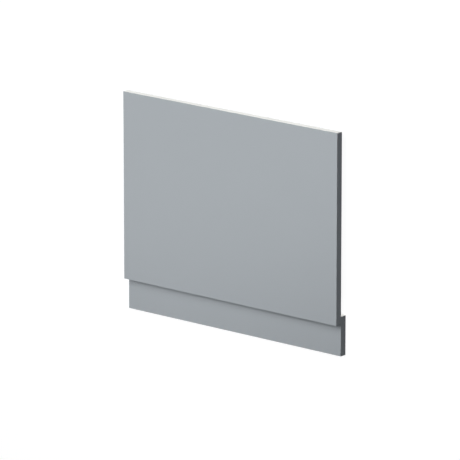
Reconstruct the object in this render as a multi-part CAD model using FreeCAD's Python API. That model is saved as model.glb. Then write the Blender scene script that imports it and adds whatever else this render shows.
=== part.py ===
import FreeCAD
import Part
import math
import os

# Bath end panel: a face board with a plinth board lapped behind its lower edge and screwed to it from behind.
# It lies on its back with the show face up. X runs along the width and +Y points to the edge that goes under
# the bath rim. The origin is the middle of the footprint, level with the back of the plinth.
# All lengths are in millimetres.

# Driving dimensions of the boards
WIDTH = 680.0              # both boards, from end to end
PANEL_HEIGHT = 480.0       # face board, from its lower edge to its rim edge
PANEL_THICKNESS = 18.0
PLINTH_HEIGHT = 100.0      # plinth board, from the floor to its upper edge
PLINTH_THICKNESS = 18.0
PLINTH_LAP = 20.0          # how far the plinth runs up behind the face board
WRAP_RADIUS = 0.5          # arris where the foil turns from the face on to the ends and the lower edge

# Driving dimensions of the screw fixing between the two boards
SCREW_COUNT = 4
SCREW_END_MARGIN = 50.0    # from a board's end to the nearest screw
CLEARANCE_DIAMETER = 4.5   # hole through the plinth
COUNTERSINK_DIAMETER = 8.5  # at the back of the plinth, for a flush screw head
COUNTERSINK_ANGLE = 90.0   # degrees across the cone
PILOT_DIAMETER = 2.5       # blind hole in the back of the face board
PILOT_COVER = 5.0          # board left between the end of the pilot hole and the show face
DRILL_POINT_ANGLE = 118.0  # degrees across the cone that a twist drill leaves

# Places worked out from the driving dimensions
OVERALL_HEIGHT = PANEL_HEIGHT + PLINTH_HEIGHT - PLINTH_LAP
FLOOR_EDGE_Y = -OVERALL_HEIGHT / 2
PANEL_LOWER_Y = FLOOR_EDGE_Y + PLINTH_HEIGHT - PLINTH_LAP
SCREW_LINE_Y = PANEL_LOWER_Y + PLINTH_LAP / 2
LAP_Z = PLINTH_THICKNESS   # plane where the plinth's face meets the back of the face board

UP = FreeCAD.Vector(0, 0, 1)


def edges_with(shape, test):
    """Edges of the shape whose every end point passes the test."""
    return [edge for edge in shape.Edges if all(test(vertex.Point) for vertex in edge.Vertexes)]


def wrapped_board(height, thickness, lower_y, back_z):
    """A board with the foil wrapped round its ends and lower edge, and its upper edge sawn square."""
    corner = FreeCAD.Vector(-WIDTH / 2, lower_y, back_z)
    blank = Part.makeBox(WIDTH, height, thickness, corner)
    box = blank.BoundBox

    def on_face(point):
        return math.isclose(point.z, box.ZMax)

    def on_lower_edge(point):
        return math.isclose(point.y, box.YMin)

    def on_upper_edge(point):
        return math.isclose(point.y, box.YMax)

    def on_left_end(point):
        return math.isclose(point.x, box.XMin)

    sawn = edges_with(blank, lambda p: on_face(p) and on_upper_edge(p))
    face_arrises = [e for e in edges_with(blank, on_face) if not any(e.isSame(s) for s in sawn)]
    left_corner = edges_with(blank, lambda p: on_lower_edge(p) and on_left_end(p))
    right_corner = edges_with(blank, lambda p: on_lower_edge(p) and not on_left_end(p))
    return blank.makeFillet(WRAP_RADIUS, face_arrises + left_corner + right_corner)


def screw_places(z):
    """Points at height z on the line of screws, evenly spaced between the end margins."""
    first = -WIDTH / 2 + SCREW_END_MARGIN
    pitch = (WIDTH - 2 * SCREW_END_MARGIN) / (SCREW_COUNT - 1)
    return [FreeCAD.Vector(first + i * pitch, SCREW_LINE_Y, z) for i in range(SCREW_COUNT)]


def cone_height(diameter, angle):
    """Height of a full cone of that base diameter and that angle across it, in degrees."""
    return diameter / 2 / math.tan(math.radians(angle / 2))


def turned(profile, place):
    """The solid made by turning a (radius, height) profile about an upright axis through the place."""
    points = [FreeCAD.Vector(radius, 0, height) for radius, height in profile]
    face = Part.Face(Part.makePolygon(points + points[:1]))
    tool = face.revolve(FreeCAD.Vector(), UP, 360)
    tool.translate(place)
    return tool


def countersunk_hole(place):
    """What a clearance hole takes out of the plinth, countersunk at its back."""
    hole_radius = CLEARANCE_DIAMETER / 2
    sink_radius = COUNTERSINK_DIAMETER / 2
    sink_depth = cone_height(COUNTERSINK_DIAMETER - CLEARANCE_DIAMETER, COUNTERSINK_ANGLE)
    profile = [
        (0, 0),
        (sink_radius, 0),
        (hole_radius, sink_depth),
        (hole_radius, PLINTH_THICKNESS),
        (0, PLINTH_THICKNESS),
    ]
    return turned(profile, place)


def pilot_hole(place):
    """What a pilot hole takes out of the back of the face board, with the drill's conical end."""
    radius = PILOT_DIAMETER / 2
    depth = PANEL_THICKNESS - PILOT_COVER
    shoulder = depth - cone_height(PILOT_DIAMETER, DRILL_POINT_ANGLE)
    profile = [(0, 0), (radius, 0), (radius, shoulder), (0, depth)]
    return turned(profile, place)


def face_panel():
    """The large board that shows, drilled from behind for the plinth's screws."""
    board = wrapped_board(PANEL_HEIGHT, PANEL_THICKNESS, PANEL_LOWER_Y, LAP_Z)
    return board.cut([pilot_hole(place) for place in screw_places(LAP_Z)])


def plinth():
    """The narrow set-back board that stands on the floor, with countersunk holes along its lap."""
    board = wrapped_board(PLINTH_HEIGHT, PLINTH_THICKNESS, FLOOR_EDGE_Y, LAP_Z - PLINTH_THICKNESS)
    return board.cut([countersunk_hole(place) for place in screw_places(LAP_Z - PLINTH_THICKNESS)])


def main():
    os.makedirs("parts", exist_ok=True)
    for name, shape in {"face_panel": face_panel(), "plinth": plinth()}.items():
        (solid,) = shape.Solids
        solid.exportStep(f"parts/{name}.step")
        box = solid.BoundBox
        print(name, "valid" if solid.isValid() else "NOT VALID", f"{solid.Volume:.1f} mm3",
              f"x {box.XMin:.2f} to {box.XMax:.2f}, y {box.YMin:.2f} to {box.YMax:.2f},",
              f"z {box.ZMin:.2f} to {box.ZMax:.2f}")


main()
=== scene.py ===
# %% [markdown]
# # A bath end panel
# The object is a flat panel that closes the end of a bath. It is two boards: a large face panel, and a
# narrow plinth that laps behind its lower edge, so that the plinth sits back and leaves room for toes.
# The boards could be modelled again here, but those of the CAD frame already have their true size, their
# fine rounded arrises and their screw holes. So this lesson keeps both meshes, gives them their finishes,
# and adds the screws that join them. The boards lie on their back with the show face up.

# %% Load the frame
import math

import bmesh
import bpy
from mathutils import Matrix, Vector


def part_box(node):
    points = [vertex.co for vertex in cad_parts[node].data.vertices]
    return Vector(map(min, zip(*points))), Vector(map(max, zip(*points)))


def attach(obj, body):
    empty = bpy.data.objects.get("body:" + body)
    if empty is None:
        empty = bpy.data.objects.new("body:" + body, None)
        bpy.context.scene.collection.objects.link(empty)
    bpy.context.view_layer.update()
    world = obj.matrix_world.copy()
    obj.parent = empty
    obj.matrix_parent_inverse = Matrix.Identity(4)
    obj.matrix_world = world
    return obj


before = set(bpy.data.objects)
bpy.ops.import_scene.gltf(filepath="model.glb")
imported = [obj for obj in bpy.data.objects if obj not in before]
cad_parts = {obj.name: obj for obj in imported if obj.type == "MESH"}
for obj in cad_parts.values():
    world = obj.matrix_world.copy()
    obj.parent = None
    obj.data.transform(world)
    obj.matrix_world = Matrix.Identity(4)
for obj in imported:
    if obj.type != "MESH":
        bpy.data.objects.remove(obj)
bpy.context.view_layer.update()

MM = 0.001


print("nodes:", sorted(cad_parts))

# %% [markdown]
# ## Where the boards are
# Every finish below changes at a plane of a board: its sawn upper edge, its back, or a hole in it. Those
# planes could be typed in as numbers, but a finish that reads them from the frame stays right if the
# boards change. The screws stand in the middle of the lap, evenly spaced between two end margins. Their
# number, that margin and the sizes of their holes are repeated here, because the frame doesn't name them.

# %% Measure the boards
PANEL_LOW, PANEL_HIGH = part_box("face_panel")
PLINTH_LOW, PLINTH_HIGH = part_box("plinth")
PLINTH_THICKNESS = PLINTH_HIGH.z - PLINTH_LOW.z

SCREW_COUNT = 4
SCREW_END_MARGIN = 50 * MM
SCREW_LINE_Y = (PANEL_LOW.y + PLINTH_HIGH.y) / 2
FIRST_SCREW_X = PLINTH_LOW.x + SCREW_END_MARGIN
SCREW_PITCH = (PLINTH_HIGH.x - PLINTH_LOW.x - 2 * SCREW_END_MARGIN) / (SCREW_COUNT - 1)
COUNTERSINK_RADIUS = 4.25 * MM
PILOT_RADIUS = 1.25 * MM
PILOT_DEPTH = 13 * MM
print(f"{SCREW_COUNT} screws, {SCREW_PITCH / MM:.1f} mm apart, at y {SCREW_LINE_Y / MM:.1f} mm")

# %% [markdown]
# ## Helpers for node trees
# A material is a small program made of nodes. Writing one line for each node, each value and each link
# makes the program hard to read. So one helper adds a node and feeds its inputs, with plain values or with
# the outputs of other nodes, and a second names the node that is used most. The third starts a group,
# which is a part of such a program with inputs and outputs of its own, to be placed in several materials.


# %% Node helpers
def add_node(tree, kind, inputs=None, **settings):
    """Adds a node with its settings, and feeds its inputs with values or with other nodes' outputs."""
    node = tree.nodes.new(kind)
    for key, value in settings.items():
        setattr(node, key, value)
    for key, value in (inputs or {}).items():
        socket = node.inputs[key]
        if isinstance(value, bpy.types.NodeSocket):
            tree.links.new(value, socket)
        elif socket.type == "RGBA":
            socket.default_value = (*value, 1)
        else:
            socket.default_value = value
    return node


def math_node(tree, operation, *values):
    """The result of a Math node."""
    return add_node(tree, "ShaderNodeMath", dict(enumerate(values)), operation=operation).outputs[0]


def start_group(name, inputs, outputs):
    """A new node group, the sockets that bring its inputs in, and the sockets that take its outputs."""
    group = bpy.data.node_groups.new(name, "ShaderNodeTree")
    for direction, sockets in (("INPUT", inputs), ("OUTPUT", outputs)):
        for label, kind in sockets.items():
            group.interface.new_socket(label, in_out=direction, socket_type=f"NodeSocket{kind}")
    return group, add_node(group, "NodeGroupInput").outputs, add_node(group, "NodeGroupOutput").inputs


print("helpers:", ", ".join(helper.__name__ for helper in (add_node, math_node, start_group)))

# %% [markdown]
# ## Which skin is where
# Grey foil is wrapped over the face, the ends and the lower edge. The upper edge of each board is left sawn
# and sealed white, because it is hidden once the panel is fitted. The back is a white backing sheet, and
# the screw holes show the raw board. One board is one mesh, so the skins could be painted on it, or its
# faces split between material slots. Here a group compares each point with the board's own planes and
# holes, which needs no change to the mesh and gives a clean line.

# %% Group: board sides
SKIN_DEPTH = 0.15 * MM


def hole_walls(group, given, point):
    """1 inside the holes of an even row along X, as far from the back as the holes go, and 0 elsewhere."""
    from_first = math_node(group, "SUBTRACT", point["X"], given["First Hole"])
    half_pitch = math_node(group, "MULTIPLY", given["Hole Pitch"], 0.5)
    minus_half_pitch = math_node(group, "MULTIPLY", half_pitch, -1.0)
    along = math_node(group, "WRAP", from_first, half_pitch, minus_half_pitch)
    across = math_node(group, "SUBTRACT", point["Y"], given["Hole Line"])
    offset = add_node(group, "ShaderNodeCombineXYZ", {"X": along, "Y": across}).outputs[0]
    distance = add_node(group, "ShaderNodeVectorMath", {0: offset}, operation="LENGTH").outputs["Value"]
    near = math_node(group, "LESS_THAN", distance, given["Hole Radius"])
    behind = math_node(group, "LESS_THAN", point["Z"], given["Hole End"])
    return math_node(group, "MULTIPLY", near, behind)


def board_sides_group():
    """Masks of a board's sawn upper edge, its back, and the walls of the holes drilled into its back."""
    group, given, result = start_group("board sides", {
        "Position": "Vector", "Upper Plane": "Float", "Back Plane": "Float", "First Hole": "Float",
        "Hole Pitch": "Float", "Hole Line": "Float", "Hole Radius": "Float", "Hole End": "Float",
    }, {"Sawn Edge": "Float", "Back": "Float", "Hole Wall": "Float"})
    point = add_node(group, "ShaderNodeSeparateXYZ", {0: given["Position"]}).outputs
    upper = math_node(group, "SUBTRACT", given["Upper Plane"], SKIN_DEPTH)
    back = math_node(group, "ADD", given["Back Plane"], SKIN_DEPTH)
    group.links.new(math_node(group, "GREATER_THAN", point["Y"], upper), result["Sawn Edge"])
    group.links.new(math_node(group, "LESS_THAN", point["Z"], back), result["Back"])
    group.links.new(hole_walls(group, given, point), result["Hole Wall"])
    return group


BOARD_SIDES = board_sides_group()
print("group:", BOARD_SIDES.name, "with", len(BOARD_SIDES.nodes), "nodes")

# %% [markdown]
# ## Soft unevenness
# No sheet material is perfectly even: pigment drifts a little over a hand's breadth, and a pressed foil
# follows the fibres below it in a faint orange peel. An image could hold such marks, but noise never
# repeats and has no edge. The same two scales of unevenness belong on the foil, the white sheet and the
# plated screws, each with its own sizes, so they are one group that all those finishes share.

# %% Group: unevenness
DRIFT_DETAIL = 2.0
PEEL_DETAIL = 3.0


def noise(tree, position, scale, detail):
    """Noise from 0 to 1, with features about 1 / scale metres across."""
    inputs = {"Vector": position, "Scale": scale, "Detail": detail}
    return add_node(tree, "ShaderNodeTexNoise", inputs).outputs["Fac"]


def unevenness_group():
    """A broad drift and a fine peel, each from -1 to 1, with features of the given sizes in metres."""
    group, given, result = start_group("unevenness", {
        "Position": "Vector", "Drift Size": "Float", "Peel Size": "Float",
    }, {"Drift": "Float", "Peel": "Float"})
    for label, detail in (("Drift", DRIFT_DETAIL), ("Peel", PEEL_DETAIL)):
        scale = math_node(group, "DIVIDE", 1.0, given[f"{label} Size"])
        raw = noise(group, given["Position"], scale, detail)
        group.links.new(math_node(group, "MULTIPLY_ADD", raw, 2.0, -1.0), result[label])
    return group


UNEVENNESS = unevenness_group()


def uneven(tree, position, drift_size, peel_size):
    """The unevenness group placed in a material."""
    inputs = {"Position": position, "Drift Size": drift_size, "Peel Size": peel_size}
    return add_node(tree, "ShaderNodeGroup", inputs, node_tree=UNEVENNESS).outputs


print("group:", UNEVENNESS.name, "with", len(UNEVENNESS.nodes), "nodes")

# %% [markdown]
# ## Pressed sheets
# The satin foil and the matte white backing are both thin sheets pressed on to the board. They could have
# a function each, but they differ only in their values, so one function makes both. It gives the colour,
# the roughness and the height of the surface. The height is in metres, and noise rarely comes near its
# limits, so the foil's peel is about a hundredth of a millimetre high, as it is on a real board.

# %% Foil and backing
FOIL = {
    "color": (0.39, 0.418, 0.44),
    "color_drift": 0.012,
    "roughness": 0.42,
    "roughness_drift": 0.03,
    "drift_size": 140 * MM,
    "peel_size": 2.4 * MM,
    "peel_height": 0.035 * MM,
}
BACKING = {
    "color": (0.82, 0.82, 0.79),
    "color_drift": 0.02,
    "roughness": 0.55,
    "roughness_drift": 0.04,
    "drift_size": 90 * MM,
    "peel_size": 0.7 * MM,
    "peel_height": 0.01 * MM,
}


def sheet_skin(tree, position, sheet):
    """Colour, roughness and height of a pressed sheet, which all vary a little."""
    patches = uneven(tree, position, sheet["drift_size"], sheet["peel_size"])
    drift = patches["Drift"]
    factors = {0: sheet["color"], 1: math_node(tree, "MULTIPLY_ADD", drift, sheet["color_drift"], 1.0)}
    color = add_node(tree, "ShaderNodeVectorMath", factors, operation="MULTIPLY").outputs[0]
    roughness = math_node(tree, "MULTIPLY_ADD", drift, sheet["roughness_drift"], sheet["roughness"])
    return color, roughness, math_node(tree, "MULTIPLY", patches["Peel"], sheet["peel_height"])


print(f"foil peel: under {FOIL['peel_height'] / MM:.3f} mm high, {FOIL['peel_size'] / MM:.1f} mm across")

# %% [markdown]
# ## Sawn fibre
# Where a saw or a drill has cut the board, its fibres show as fine streaks along the cut. A wave texture
# would be too regular, so noise is stretched: squeezed across the board and drawn out along its length.
# Both boards need it, in two skins each, so it is a group as well.

# %% Group: sawn fibre
FIBRE_DETAIL = 3.0


def sawn_fibre_group():
    """Streaks along X, from 0 to 1, with the given length and width in metres."""
    group, given, result = start_group("sawn fibre", {
        "Position": "Vector", "Length": "Float", "Width": "Float",
    }, {"Fibre": "Float"})
    axes = {"X": given["Length"], "Y": given["Width"], "Z": given["Width"]}
    size = add_node(group, "ShaderNodeCombineXYZ", axes).outputs[0]
    places = {0: given["Position"], 1: size}
    stretched = add_node(group, "ShaderNodeVectorMath", places, operation="DIVIDE").outputs[0]
    group.links.new(noise(group, stretched, 1.0, FIBRE_DETAIL), result["Fibre"])
    return group


SAWN_FIBRE = sawn_fibre_group()
print("group:", SAWN_FIBRE.name, "with", len(SAWN_FIBRE.nodes), "nodes")

# %% [markdown]
# ## Sealed edge and raw board
# The sawn upper edge is sealed with a white coat that fills its fibres nearly flat, while the walls of the
# screw holes are raw board, brown and rough. Pictures of cut board could show both, but the streaks above
# do it with a few values, so here too one function makes both skins.

# %% Sealed edge and raw board
FIBRE_LENGTH = 11 * MM
FIBRE_WIDTH = 0.9 * MM
SEALED_EDGE = {
    "color": (0.885, 0.885, 0.85),
    "streak_color": (0.81, 0.805, 0.755),
    "roughness": 0.3,
    "fibre_height": 0.005 * MM,
}
RAW_BOARD = {
    "color": (0.36, 0.25, 0.15),
    "streak_color": (0.22, 0.145, 0.08),
    "roughness": 0.9,
    "fibre_height": 0.12 * MM,
}


def mix_colors(tree, mask, first, second):
    """The first colour where the mask is 0, and the second where it is 1."""
    # A Mix node has sockets for every kind of data, and those for colours are inputs 6 and 7 and output 2.
    return add_node(tree, "ShaderNodeMix", {0: mask, 6: first, 7: second}, data_type="RGBA").outputs[2]


def sawn_skin(tree, position, cut):
    """Colour, roughness and height of a sawn surface with its streaks."""
    inputs = {"Position": position, "Length": FIBRE_LENGTH, "Width": FIBRE_WIDTH}
    fibre = add_node(tree, "ShaderNodeGroup", inputs, node_tree=SAWN_FIBRE).outputs["Fibre"]
    color = mix_colors(tree, fibre, cut["color"], cut["streak_color"])
    return color, cut["roughness"], math_node(tree, "MULTIPLY", fibre, cut["fibre_height"])


print(f"streaks: {FIBRE_LENGTH / MM:.0f} mm long and {FIBRE_WIDTH / MM:.1f} mm wide")

# %% [markdown]
# ## The board finish
# A board shows all four skins. Four shaders could be mixed, but one Principled shader is lighter and easier
# to follow, so their colours, roughness and relief are mixed before it: the foil comes first, and each mask
# brings in another skin. Both boards use the same function, with their own planes and holes.

# %% Board finish
BOARD_SPECULAR = 0.4
HOLE_MARGIN = 0.1 * MM


def start_material(name):
    """A new material, its node tree and its Principled shader."""
    material = bpy.data.materials.new(name)
    material.use_nodes = True
    return material, material.node_tree, material.node_tree.nodes["Principled BSDF"]


def add_relief(tree, shader, height):
    """Turns a height in metres into the shader's normal."""
    bump = add_node(tree, "ShaderNodeBump", {"Height": height, "Distance": 1.0, "Strength": 1.0})
    tree.links.new(bump.outputs["Normal"], shader.inputs["Normal"])


def mix_values(tree, mask, first, second):
    """The first value where the mask is 0, and the second where it is 1."""
    return add_node(tree, "ShaderNodeMix", {0: mask, 2: first, 3: second}, data_type="FLOAT").outputs[0]


def board_finish(name, low, high, hole_radius, hole_end):
    """The material of one board, with its skins changing at the planes of the box from low to high."""
    material, tree, shader = start_material(name)
    position = add_node(tree, "ShaderNodeTexCoord").outputs["Object"]
    sides = add_node(tree, "ShaderNodeGroup", {
        "Position": position, "Upper Plane": high.y, "Back Plane": low.z, "First Hole": FIRST_SCREW_X,
        "Hole Pitch": SCREW_PITCH, "Hole Line": SCREW_LINE_Y,
        "Hole Radius": hole_radius + HOLE_MARGIN, "Hole End": hole_end,
    }, node_tree=BOARD_SIDES).outputs
    color, roughness, height = sheet_skin(tree, position, FOIL)
    for side, make_skin, values in (
        ("Sawn Edge", sawn_skin, SEALED_EDGE),
        ("Back", sheet_skin, BACKING),
        ("Hole Wall", sawn_skin, RAW_BOARD),
    ):
        skin_color, skin_roughness, skin_height = make_skin(tree, position, values)
        color = mix_colors(tree, sides[side], color, skin_color)
        roughness = mix_values(tree, sides[side], roughness, skin_roughness)
        height = mix_values(tree, sides[side], height, skin_height)
    tree.links.new(color, shader.inputs["Base Color"])
    tree.links.new(roughness, shader.inputs["Roughness"])
    add_relief(tree, shader, height)
    shader.inputs["Specular IOR Level"].default_value = BOARD_SPECULAR
    return material


PILOT_END = PANEL_LOW.z + PILOT_DEPTH + HOLE_MARGIN
CLEARANCE_END = PLINTH_HIGH.z - SKIN_DEPTH
PANEL_BOARD = board_finish("face_panel_board", PANEL_LOW, PANEL_HIGH, PILOT_RADIUS, PILOT_END)
PLINTH_BOARD = board_finish("plinth_board", PLINTH_LOW, PLINTH_HIGH, COUNTERSINK_RADIUS, CLEARANCE_END)
print("materials:", PANEL_BOARD.name, "and", PLINTH_BOARD.name)

# %% [markdown]
# ## Dressing the boards
# The boards come from the frame with a plain material. More slots could be added and given to the faces one
# by one, but each board has one finish that knows where its skins are. So the finish takes the place of the
# plain material, and the mesh stays as it is.


# %% Dress the boards
def dress(node, material):
    """Puts a material in every slot of a CAD node."""
    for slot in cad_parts[node].material_slots:
        slot.material = material
    print("dressed", node, "with", material.name)


dress("face_panel", PANEL_BOARD)
dress("plinth", PLINTH_BOARD)

# %% [markdown]
# ## The screw's head
# The plinth is held by countersunk screws driven in from behind. A screw is a turned shape, so a profile
# spun about its axis would make nearly all of it, but the cross in its head isn't round. The head therefore
# starts as a flat disc that eight straight cuts divide. Five of the pieces make the cross, which is pushed
# in and tapered. One screw is modelled at the origin, head down, and copied into its holes later.

# %% Screw head
HEAD_RADIUS = 4.0 * MM
HEAD_SIDES = 36
CROSS_WIDTH = 1.1 * MM
CROSS_REACH = 2.3 * MM
CROSS_DEPTH = 1.7 * MM
CROSS_TAPER = 0.62
UP = Vector((0, 0, 1))


def new_verts(result):
    """The vertices that an operator has just made."""
    return [item for item in result["geom"] if isinstance(item, bmesh.types.BMVert)]


def scale_about_axis(bm, verts, factor):
    """Scales vertices towards the screw's own axis."""
    bmesh.ops.scale(bm, verts=verts, vec=(factor, factor, 1))


def in_cross(face):
    """Whether a piece of the divided disc is one of the five that make the cross."""
    middle = face.calc_center_median()
    across, along = sorted((abs(middle.x), abs(middle.y)))
    return across < CROSS_WIDTH / 2 and along < CROSS_REACH


def screw_head(bm):
    """A round flat with a tapered cross sunk into it, facing down."""
    bmesh.ops.create_circle(bm, cap_ends=True, radius=HEAD_RADIUS, segments=HEAD_SIDES)
    for offset in (CROSS_WIDTH / 2, CROSS_REACH):
        for side in ((1, 0, 0), (-1, 0, 0), (0, 1, 0), (0, -1, 0)):
            everything = [*bm.verts, *bm.edges, *bm.faces]
            bmesh.ops.bisect_plane(bm, geom=everything, plane_co=Vector(side) * offset, plane_no=side)
    cross = [face for face in bm.faces if in_cross(face)]
    sunk = new_verts(bmesh.ops.extrude_face_region(bm, geom=cross))
    bmesh.ops.delete(bm, geom=cross, context="FACES")
    bmesh.ops.translate(bm, verts=sunk, vec=UP * CROSS_DEPTH)
    scale_about_axis(bm, sunk, CROSS_TAPER)


SCREW = bmesh.new()
screw_head(SCREW)
print("screw head:", len(SCREW.faces), "faces")

# %% [markdown]
# ## The screw's shank
# Behind the head come a short land, a cone that fills the countersink, a plain shank as long as the plinth
# is thick, and a thinner core that ends in a point. Cylinders and cones could be joined end to end, but
# then every joint would have to be sewn up. Instead the border of the head is extruded again and again, and
# each new ring is lifted and scaled to the next radius, so a list of radii and heights is all it needs.

# %% Screw shank
HEAD_LAND = 0.15 * MM
SHANK_RADIUS = 1.95 * MM
CORE_RADIUS = 1.2 * MM
SCREW_LENGTH = 29 * MM
POINT_LENGTH = 5 * MM
POINT_RADIUS = 0.15 * MM


def border(bm):
    """The edges that have a face on one side only."""
    return [edge for edge in bm.edges if edge.is_boundary]


def draw_out(bm):
    """Draws the border of the head along the axis to the cone, shank and point, and closes the end."""
    steps = [
        (HEAD_RADIUS, HEAD_LAND),
        (SHANK_RADIUS, HEAD_LAND + HEAD_RADIUS - SHANK_RADIUS),
        (SHANK_RADIUS, PLINTH_THICKNESS - 2 * HEAD_LAND),
        (CORE_RADIUS, PLINTH_THICKNESS),
        (CORE_RADIUS, SCREW_LENGTH - POINT_LENGTH),
        (POINT_RADIUS, SCREW_LENGTH),
    ]
    radius, height = HEAD_RADIUS, 0.0
    for next_radius, next_height in steps:
        ring = new_verts(bmesh.ops.extrude_edge_only(bm, edges=border(bm)))
        bmesh.ops.translate(bm, verts=ring, vec=UP * (next_height - height))
        scale_about_axis(bm, ring, next_radius / radius)
        radius, height = next_radius, next_height
    bmesh.ops.edgeloop_fill(bm, edges=border(bm))


draw_out(SCREW)
print(f"screw shank: out to {SCREW_LENGTH / MM:.0f} mm, with {len(border(SCREW))} open edges left")

# %% [markdown]
# ## The screw's thread
# The thread is a ridge wound round the core. A Screw modifier could wind it, but the spin operator does the
# same inside the one mesh: a small three-cornered profile turns about the axis, and rises by a share of the
# pitch at each step. The profile starts inside the core, so no gap can show between them.

# %% Screw thread
THREAD_RADIUS = 1.9 * MM
THREAD_ROOT = 0.95 * MM
THREAD_PITCH = 1.8 * MM
THREAD_HALF_WIDTH = 0.58 * MM
THREAD_STEPS = 16
THREAD_START = PLINTH_THICKNESS + THREAD_PITCH / 2
THREAD_TURNS = int((SCREW_LENGTH - POINT_LENGTH - PLINTH_THICKNESS) / THREAD_PITCH)


def wind_thread(bm):
    """Winds a ridge round the core, from behind the plain shank to where the point begins."""
    corners = [(THREAD_ROOT, -THREAD_HALF_WIDTH), (THREAD_RADIUS, 0.0), (THREAD_ROOT, THREAD_HALF_WIDTH)]
    profile = bm.faces.new([bm.verts.new((radius, 0, THREAD_START + lift)) for radius, lift in corners])
    bmesh.ops.spin(bm, geom=[profile, *profile.edges, *profile.verts], axis=UP, cent=(0, 0, 0),
                   dvec=UP * (THREAD_PITCH / THREAD_STEPS), angle=THREAD_TURNS * math.tau,
                   steps=THREAD_TURNS * THREAD_STEPS, use_merge=False, use_duplicate=False)
    bmesh.ops.recalc_face_normals(bm, faces=bm.faces)


wind_thread(SCREW)
print(f"screw thread: {THREAD_TURNS} turns, {len(SCREW.faces)} faces in the whole screw")

# %% [markdown]
# ## Zinc plating
# The screws are steel with a thin zinc plating. A plain metal would look like a mirror, so the shared
# unevenness gives the plating its faint cloudy bloom: patches that are a little duller and warmer.

# %% Zinc finish
ZINC_COLOR = (0.62, 0.62, 0.60)
ZINC_BLOOM_COLOR = (0.66, 0.63, 0.54)
ZINC_BLOOM_SIZE = 2.5 * MM
ZINC_ROUGHNESS = 0.38
ZINC_ROUGHNESS_DRIFT = 0.08
ZINC_GRAIN_SIZE = 0.25 * MM
ZINC_GRAIN_HEIGHT = 0.003 * MM


def zinc_finish():
    """Plated steel with a cloudy bloom."""
    material, tree, shader = start_material("zinc_plating")
    position = add_node(tree, "ShaderNodeTexCoord").outputs["Object"]
    plating = uneven(tree, position, ZINC_BLOOM_SIZE, ZINC_GRAIN_SIZE)
    bloom = math_node(tree, "MULTIPLY_ADD", plating["Drift"], 0.5, 0.5)
    roughness = math_node(tree, "MULTIPLY_ADD", plating["Drift"], ZINC_ROUGHNESS_DRIFT, ZINC_ROUGHNESS)
    tree.links.new(mix_colors(tree, bloom, ZINC_COLOR, ZINC_BLOOM_COLOR), shader.inputs["Base Color"])
    tree.links.new(roughness, shader.inputs["Roughness"])
    add_relief(tree, shader, math_node(tree, "MULTIPLY", plating["Peel"], ZINC_GRAIN_HEIGHT))
    shader.inputs["Metallic"].default_value = 1.0
    return material


ZINC = zinc_finish()
print("material:", ZINC.name)

# %% [markdown]
# ## Four screws in their holes
# All the screws are alike, so each is a copy of the one above, turned as the driver happened to leave it
# and moved into its countersink, a little below the back of the plinth. The object could carry that place
# and turn, but here they go into the mesh, so that every piece sits at the origin as the boards do.

# %% Seat the screws
HEAD_BELOW_BACK = 0.27 * MM
DRIVER_TURN = math.radians(37)
SHARP_ANGLE = math.radians(35)


def add_piece(name, bm, material):
    """Makes an object of a bmesh, which is freed, and gives it one material."""
    mesh = bpy.data.meshes.new(name)
    bm.to_mesh(mesh)
    bm.free()
    mesh.materials.append(material)
    piece = bpy.data.objects.new(name, mesh)
    bpy.context.scene.collection.objects.link(piece)
    return piece


def seated_screw(index):
    """A copy of the screw, turned about its axis and set in its hole."""
    bm = SCREW.copy()
    seat = Vector((FIRST_SCREW_X + index * SCREW_PITCH, SCREW_LINE_Y, PLINTH_LOW.z + HEAD_BELOW_BACK))
    turn = Matrix.Rotation(index * DRIVER_TURN, 3, "Z")
    bmesh.ops.rotate(bm, verts=bm.verts, cent=(0, 0, 0), matrix=turn)
    bmesh.ops.translate(bm, verts=bm.verts, vec=seat)
    piece = add_piece(f"fixing_screw_{index + 1}", bm, ZINC)
    piece.data.shade_smooth()
    piece.data.set_sharp_from_angle(angle=SHARP_ANGLE)
    return piece


for number in range(SCREW_COUNT):
    screw = seated_screw(number)
    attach(screw, "root")
    print("seated", screw.name)
SCREW.free()

# %% [markdown]
# ## The floor
# The panel lies on a plain pale floor. A floor bright enough to look white would also throw light up at the
# panel's ends, so it is a modest grey that adds its white only for rays that look at it: straight from the
# camera, or by way of a reflection. The lamps still drop the panel's faint shadow on it. That added white
# would also fill the low gap under the panel, so an ambient occlusion node, which measures how open each
# point is, takes most of it away there. This darkening in the gap is painted shade.

# %% Floor
FLOOR_SIZE = 30.0
FLOOR_DROP = 0.2 * MM
FLOOR_COLOR = (0.10, 0.108, 0.117)
FLOOR_WHITE = 0.965
SHADE_REACH = 250 * MM
SHADE_OPEN = 0.15
SHADE_DARKEST = 0.1


def seen_rays(tree):
    """1 for rays that look at a background, straight or in a reflection, 0 for those that carry light."""
    path = add_node(tree, "ShaderNodeLightPath").outputs
    mirrored = math_node(tree, "MAXIMUM", path["Is Glossy Ray"], path["Is Transmission Ray"])
    return math_node(tree, "MAXIMUM", path["Is Camera Ray"], mirrored)


def floor_finish():
    """A grey floor that looks white, with painted shade deep under the panel."""
    material, tree, shader = start_material("floor")
    tree.nodes.remove(shader)
    # Painted shade: the floor's added white is dimmed where the ambient occlusion node finds it closed in.
    openness = add_node(tree, "ShaderNodeAmbientOcclusion", {"Distance": SHADE_REACH}).outputs["AO"]
    limits = {"Value": openness, "From Max": SHADE_OPEN, "To Min": SHADE_DARKEST}
    shade = add_node(tree, "ShaderNodeMapRange", limits, interpolation_type="SMOOTHSTEP").outputs["Result"]
    white = math_node(tree, "MULTIPLY", shade, FLOOR_WHITE)
    seen_white = math_node(tree, "MULTIPLY", seen_rays(tree), white)
    glow = add_node(tree, "ShaderNodeEmission", {"Strength": seen_white}).outputs[0]
    matte = add_node(tree, "ShaderNodeBsdfDiffuse", {"Color": FLOOR_COLOR}).outputs[0]
    both = add_node(tree, "ShaderNodeAddShader", {0: matte, 1: glow}).outputs[0]
    tree.links.new(both, tree.nodes["Material Output"].inputs["Surface"])
    return material


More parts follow.
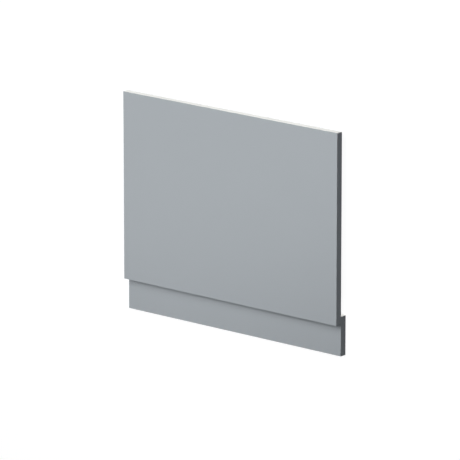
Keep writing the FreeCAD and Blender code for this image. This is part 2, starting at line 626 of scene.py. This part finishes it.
def make_floor():
    """A large flat square just under the panel."""
    bm = bmesh.new()
    bmesh.ops.create_grid(bm, x_segments=1, y_segments=1, size=FLOOR_SIZE / 2)
    bmesh.ops.translate(bm, verts=bm.verts, vec=-UP * FLOOR_DROP)
    floor = add_piece("floor", bm, floor_finish())
    return floor


print("stage:", make_floor().name)

# %% [markdown]
# ## The surroundings
# The walls of a studio light an object dimly from all sides. An image of a room could do that, but one even
# and slightly cool colour is enough here, dim enough to leave the ends of the boards dark. Rays that look
# at the surroundings see white instead, as they do on the floor.

# %% World
AMBIENT_COLOR = (0.080, 0.088, 0.097)
WHITE = (1.0, 1.0, 1.0)


def make_world():
    """A dim surround that looks white."""
    world = bpy.data.worlds.new("studio")
    world.use_nodes = True
    tree = world.node_tree
    color = mix_colors(tree, seen_rays(tree), AMBIENT_COLOR, WHITE)
    tree.links.new(color, tree.nodes["Background"].inputs["Color"])
    bpy.context.scene.world = world
    return world


print("world:", make_world().name)

# %% [markdown]
# ## Light on the face
# One large soft lamp hangs in front of the upper part of the face. Its beam is narrowed, so the face fades
# a little towards its lower right. A second lamp, higher up beyond the rim, lengthens the soft shadow that
# the overhang drops on the plinth. A sun lamp would be simpler, but its light is even and its shadow hard.

# %% Face lamps
KEY_PLACE = Vector((-0.134, 0.804, 1.271))
KEY_AIM = Vector((0.068, 0.209, 0.03))
KEY_SIZE = (2.01, 1.42)
KEY_SPREAD = math.radians(54.5)
KEY_POWER = 7.08
TOP_PLACE = Vector((-0.506, 3.616, 3.01))
TOP_AIM = Vector((-0.134, 0.1, 0.03))
TOP_SIZE = (1.23, 1.30)
TOP_POWER = 40.0
FULL_SPREAD = math.radians(180)


def soft_lamp(name, place, aim, size, spread, power):
    """A flat rectangular lamp that faces a point and isn't itself seen by the camera."""
    lamp = bpy.data.lights.new(name, "AREA")
    lamp.shape = "RECTANGLE"
    lamp.size, lamp.size_y = size
    lamp.spread = spread
    lamp.energy = power
    holder = bpy.data.objects.new(name, lamp)
    holder.location = place
    holder.rotation_euler = (aim - place).to_track_quat("-Z", "Y").to_euler()
    holder.visible_camera = False
    bpy.context.scene.collection.objects.link(holder)
    print("lamp:", name, power, "W")


soft_lamp("key", KEY_PLACE, KEY_AIM, KEY_SIZE, KEY_SPREAD, KEY_POWER)
soft_lamp("top", TOP_PLACE, TOP_AIM, TOP_SIZE, FULL_SPREAD, TOP_POWER)

# %% [markdown]
# ## Light on the white edges
# The white upper edges face along the floor, where the first two lamps hardly reach. A long low strip, far
# beyond the rim, lights the panel's edge and only grazes its face. The plinth's edge is in the gap under
# the panel, so a thin lamp lies in that gap and faces it. Both lamps could be left out and the edges made
# brighter, but then they would look wrong in any other light.

# %% Edge lamps
STRIP_PLACE = Vector((-0.95, 6.3, 0.1))
STRIP_AIM = Vector((-0.95, 0.0, 0.1))
STRIP_SIZE = (2.5, 0.2)
STRIP_POWER = 120.0
GAP_SIZE = (0.18, 0.012)
GAP_FROM_PLINTH = 80 * MM
GAP_AIM = Vector((PANEL_HIGH.x - GAP_SIZE[0] / 2, PLINTH_HIGH.y, (PLINTH_LOW.z + PANEL_LOW.z) / 2))
GAP_PLACE = GAP_AIM + Vector((0, GAP_FROM_PLINTH, 0))
GAP_SPREAD = math.radians(24)
GAP_POWER = 0.008

soft_lamp("strip", STRIP_PLACE, STRIP_AIM, STRIP_SIZE, FULL_SPREAD, STRIP_POWER)
soft_lamp("gap", GAP_PLACE, GAP_AIM, GAP_SIZE, GAP_SPREAD, GAP_POWER)

# %% [markdown]
# ## The camera
# The panel is seen as it would stand: its rim edge is up in the picture although the panel lies on its
# back. A Track To constraint would keep the floor level instead, so the camera's three axes are worked out
# here with the panel's +Y as up. The eye is 40 degrees round to the right of the face and 15 degrees above
# it, far away behind a long lens, which keeps the edges nearly parallel.

# %% Camera
EYE_RIGHT = math.radians(40.037)
EYE_ABOVE = math.radians(14.770)
EYE_DISTANCE = 12.975
AIM = Vector((-2.67, -19.35, 27.1)) * MM
SENSOR = 36.0
LENS = 414.85


def make_camera():
    """A camera that looks down on the lying panel, with the panel's rim edge up in the picture."""
    level = math.cos(EYE_ABOVE)
    back = Vector((math.sin(EYE_RIGHT) * level, math.sin(EYE_ABOVE), math.cos(EYE_RIGHT) * level))
    right = Vector((0, 1, 0)).cross(back).normalized()
    turned = Matrix((right, back.cross(right), back)).transposed().to_4x4()
    data = bpy.data.cameras.new("camera")
    data.sensor_width = SENSOR
    data.lens = LENS
    camera = bpy.data.objects.new("camera", data)
    camera.matrix_world = Matrix.Translation(AIM + back * EYE_DISTANCE) @ turned
    bpy.context.scene.collection.objects.link(camera)
    bpy.context.scene.camera = camera
    return camera


print("camera at", [round(value, 3) for value in make_camera().matrix_world.translation])

# %% [markdown]
# ## Finish
# Colours are shown as they are lit, with no film look.

# %% View settings
bpy.context.scene.view_settings.view_transform = "Standard"
bpy.context.view_layer.update()
